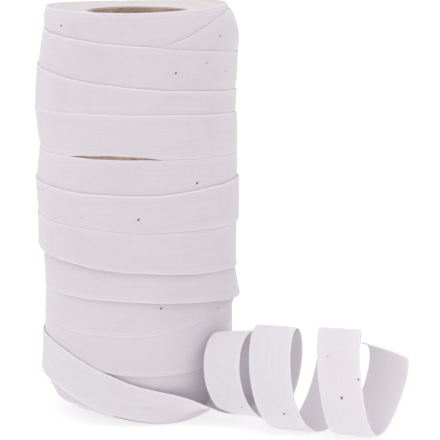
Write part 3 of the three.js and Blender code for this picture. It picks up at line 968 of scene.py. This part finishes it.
# Each finish with what makes it and the panel's colour for it
FINISHES = {
    "Wound ribbon": (ribbon_material, "cotton"),
    "Laid ribbon": (ribbon_material, "loose"),
    "Curled ribbon": (ribbon_material, "loose"),
    "Ribbon edges": (ribbon_edges_material, "edges"),
    "Tube board": (board_material, "board"),
    "Seed speck": (speck_material, "speck"),
    "Paper floor": (floor_material, "floor"),
}


def finish_named(name):
    """A material by its name, made on first use. The first one makes the node groups too."""
    if "Ribbon weave" not in bpy.data.node_groups:
        weave_group()
        handling_group()
    if name not in bpy.data.materials:
        maker, colour = FINISHES[name]
        maker(name, getattr(bpy.context.scene.ribbon_colours, colour))
    return bpy.data.materials[name]


def colour_property(name, description, default):
    return FloatVectorProperty(
        name=name, description=description, subtype="COLOR", size=3, min=0, max=1, default=default)


def length_property(name, description, default):
    return FloatProperty(name=name, description=description, default=default, unit="LENGTH")


class RibbonSizes(bpy.types.PropertyGroup):
    """Sizes of the ribbon that a user would change."""

    thickness: length_property("Ribbon thickness", "The loose ribbon", 0.0006)
    wrap_thickness: length_property("Wrap thickness", "The outer wrap at the top, pressed flat", 0.0005)


class RibbonColours(bpy.types.PropertyGroup):
    """Colours of the finishes."""

    cotton: colour_property("Wound cotton", "The ribbon on the roll", (0.7, 0.655, 0.698))
    # The loose cotton is the wound cotton painted lighter: painted light on the loose end.
    loose: colour_property("Loose cotton", "The loose end", (0.725, 0.688, 0.73))
    edges: colour_property("Edges", "The ribbon's edges at the roll's ends", (0.7, 0.65, 0.66))
    board: colour_property("Board", "The tube's board", (0.42, 0.305, 0.245))
    speck: colour_property("Specks", "Seed specks in the cotton", (0.11, 0.095, 0.09))
    floor: colour_property("Floor", "The floor under the roll", (0.5, 0.5, 0.5))


class RIBBON_OT_tube(bpy.types.Operator):
    """Make the board tube: a lathe of its section, with three plies showing at its ends"""

    bl_idname = "ribbon.tube"
    bl_label = "Tube"

    def execute(self, context):
        inner = TUBE_RADIUS - TUBE_WALL
        ends = [(inner + 0.15, 0)]
        for seam in (inner + TUBE_WALL / 3, inner + 2 * TUBE_WALL / 3):
            ends += [(seam - 0.05, 0), (seam, PLY_GROOVE), (seam + 0.05, 0)]
        ends += [(TUBE_RADIUS - 0.15, 0)]
        foot = np.array(ends) + [0, TUBE_FOOT]
        top = np.array(ends)[::-1] * [1, -1] + [0, TUBE_HEIGHT]
        wall = np.linspace(TUBE_FOOT + 4, TUBE_HEIGHT - 4, 24)
        outside = np.stack([0 * wall + TUBE_RADIUS, wall], -1)
        inside = np.stack([0 * wall + inner, wall[::-1]], -1)
        corners = [[(TUBE_RADIUS, TUBE_FOOT + 0.3)], outside, [(TUBE_RADIUS, TUBE_HEIGHT - 0.3)], top]
        corners += [[(inner, TUBE_HEIGHT - 0.3)], inside, [(inner, TUBE_FOOT + 0.3)]]
        profile = np.concatenate([foot, *corners])
        angle = np.arange(TUBE_STEPS) * 360 / TUBE_STEPS
        rows = on_ring(angle[:, None], profile[:, 0], profile[:, 1])
        ids = np.arange(rows[..., 0].size).reshape(TUBE_STEPS, -1)
        ids = np.concatenate([ids, ids[:1]])
        ids = closed(ids)
        around = np.linspace(0, 2 * math.pi * TUBE_RADIUS, TUBE_STEPS + 1)
        uv = np.stack(np.meshgrid(around, np.append(profile[:, 1], 0), indexing="ij"), -1)
        materials = [finish_named("Tube board")]
        piece = skin("board_tube", rows.reshape(-1, 3), ids[:, ::-1], uv[:, ::-1], 0, materials)
        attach(piece, "root")
        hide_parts("core")
        return {"FINISHED"}


class RIBBON_OT_winding(bpy.types.Operator):
    """Make the wound body, with the slit between two of its turns"""

    bl_idname = "ribbon.winding"
    bl_label = "Winding"

    def execute(self, context):
        materials = [finish_named(name) for name in ("Wound ribbon", "Ribbon edges", "Tube board")]
        piece = skin("wound_ribbon", *winding_grid(), materials)
        cut_away(piece, slit_cutter(materials))
        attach(piece, "root")
        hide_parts("winding")
        return {"FINISHED"}


class RIBBON_OT_top_wrap(bpy.types.Operator):
    """Make the outer wrap that climbs to the rim at the right"""

    bl_idname = "ribbon.top_wrap"
    bl_label = "Top wrap"

    def execute(self, context):
        thickness = context.scene.ribbon_sizes.wrap_thickness / MM
        grid, along, across = top_wrap_grid(thickness)
        piece = ribbon_strip("top_wrap", grid, thickness, along, across, [finish_named("Wound ribbon")])
        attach(piece, "root")
        return {"FINISHED"}


class RIBBON_OT_loose_end(bpy.types.Operator):
    """Make the loose end: on the roll, over to the floor and around its curl"""

    bl_idname = "ribbon.loose_end"
    bl_label = "Loose end"

    def execute(self, context):
        thickness = context.scene.ribbon_sizes.thickness / MM
        grid, along, across = loose_end_grid(thickness)
        materials = [finish_named("Laid ribbon"), finish_named("Curled ribbon")]
        free = np.arange(-1, len(grid))[:, None] >= len(grid) - CURL_STATIONS
        piece = ribbon_strip("loose_ribbon", grid, thickness, along, across, materials, free.astype(int))
        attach(piece, "root")
        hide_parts("loose_end")
        return {"FINISHED"}


class RIBBON_OT_specks(bpy.types.Operator):
    """Make the dark specks of seed in the cotton"""

    bl_idname = "ribbon.specks"
    bl_label = "Seed specks"

    def execute(self, context):
        angle, height = SPECKS[:, 0], SPECKS[:, 1]
        below_edge = height < np.interp(angle, TOP_WRAP["angle"], TOP_WRAP["height"])
        on_wrap = below_edge & (height > WRAP_SHOWS_ABOVE)
        lift = np.where(on_wrap, OFF_UNDER_WRAP + context.scene.ribbon_sizes.wrap_thickness / MM, 0)
        on_roll = on_ring(angle, wound_radius(angle, height) + lift, height)
        out = on_ring(angle, 1.0, 0.0)
        along = on_ring(angle + 90, 1.0, 0.0)
        thickness = context.scene.ribbon_sizes.thickness / MM
        grid = loose_end_grid(thickness)[0]
        share = (CURL_SPECKS[:, 0] - CURL_START) / (CURL_END - CURL_START)
        row = len(grid) - CURL_STATIONS + np.rint(share * (CURL_STATIONS - 1)).astype(int)
        column = np.rint((CURL_SPECKS[:, 1] + 1) / 2 * (grid.shape[1] - 1)).astype(int)
        curl_out = -strip_normals(grid)[row, column]
        forward = unit(grid[row + 1, column] - grid[row, column])
        on_curl = grid[row, column] + curl_out * thickness / 2
        piece = blob_mesh(
            "seed_specks",
            np.concatenate([on_roll, on_curl]),
            np.concatenate([out, curl_out]),
            np.concatenate([along, forward]),
            np.concatenate([SPECKS[:, 2:], CURL_SPECKS[:, 2:]]),
            finish_named("Seed speck"),
        )
        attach(piece, "root")
        return {"FINISHED"}


class RIBBON_OT_stage(bpy.types.Operator):
    """Make the pale floor, the soft lights and the camera"""

    bl_idname = "ribbon.stage"
    bl_label = "Stage"

    def execute(self, context):
        scene = context.scene
        mesh = bpy.data.meshes.new("floor")
        corners = [(x * FLOOR_HALF, y * FLOOR_HALF, 0) for x, y in ((-1, -1), (1, -1), (1, 1), (-1, 1))]
        mesh.from_pydata(corners, [], [(0, 1, 2, 3)])
        mesh.materials.append(finish_named("Paper floor"))
        floor = bpy.data.objects.new("floor", mesh)
        scene.collection.objects.link(floor)

        world = bpy.data.worlds.new("Studio")
        world.use_nodes = True
        sky = world.node_tree
        way = node(sky, "ShaderNodeTexCoord").outputs["Generated"]
        rightward = node(sky, "ShaderNodeSeparateXYZ", {0: way}).outputs["X"]
        strength = 1.0
        for low, high, amount in WORLD_DIMMED:
            strength = less(sky, strength, ramp_value(sky, rightward, low, high, 0.0, amount))
        fill(sky, sky.nodes["Background"], {"Color": (1.0, 1.0, 1.0, 1.0), "Strength": strength})
        scene.world = world
        scene.view_settings.view_transform = "Standard"

        for name, place, power in LIGHTS:
            lamp = bpy.data.lights.new(name, "AREA")
            lamp.size = LIGHTS_SIDE
            lamp.energy = power
            holder = bpy.data.objects.new(name, lamp)
            holder.location = place
            way = np.array(LIGHTS_AIM) - np.array(place)
            flat = math.hypot(way[0], way[1])
            holder.rotation_euler = (math.atan2(flat, -way[2]), 0, math.atan2(-way[0], way[1]))
            scene.collection.objects.link(holder)

        lens = bpy.data.cameras.new("camera")
        lens.lens = CAMERA_LENS
        lens.sensor_width = SENSOR_WIDTH
        lens.clip_start = 0.05
        lens.clip_end = 20.0
        camera = bpy.data.objects.new("camera", lens)
        camera.location = np.array(CAMERA_PLACE) * MM + ROLL_AXIS
        camera.rotation_euler = (math.radians(90 - CAMERA_PITCH), 0, 0)
        scene.collection.objects.link(camera)
        scene.camera = camera
        return {"FINISHED"}


class RIBBON_PT_panel(bpy.types.Panel):
    """Lists the roll's pieces and their sizes and colours"""

    bl_idname = "RIBBON_PT_panel"
    bl_label = "Roll of ribbon"
    bl_space_type = "VIEW_3D"
    bl_region_type = "UI"
    bl_category = "Ribbon"

    def draw(self, context):
        layout = self.layout
        for group in (context.scene.ribbon_sizes, context.scene.ribbon_colours):
            for name in group.__annotations__:
                layout.prop(group, name)
        for operator in PIECES:
            layout.operator(operator.bl_idname)


PIECES = (
    RIBBON_OT_stage,
    RIBBON_OT_tube,
    RIBBON_OT_winding,
    RIBBON_OT_top_wrap,
    RIBBON_OT_loose_end,
    RIBBON_OT_specks,
)
CLASSES = (RibbonSizes, RibbonColours, *PIECES, RIBBON_PT_panel)


def register():
    for cls in CLASSES:
        bpy.utils.register_class(cls)
    bpy.types.Scene.ribbon_sizes = PointerProperty(type=RibbonSizes)
    bpy.types.Scene.ribbon_colours = PointerProperty(type=RibbonColours)


def unregister():
    del bpy.types.Scene.ribbon_colours
    del bpy.types.Scene.ribbon_sizes
    for cls in reversed(CLASSES):
        bpy.utils.unregister_class(cls)


def main():
    register()
    bpy.ops.ribbon.stage()
    bpy.ops.ribbon.tube()
    bpy.ops.ribbon.winding()
    bpy.ops.ribbon.top_wrap()
    bpy.ops.ribbon.loose_end()
    bpy.ops.ribbon.specks()
    bpy.context.view_layer.update()


if __name__ == "__main__":
    main()
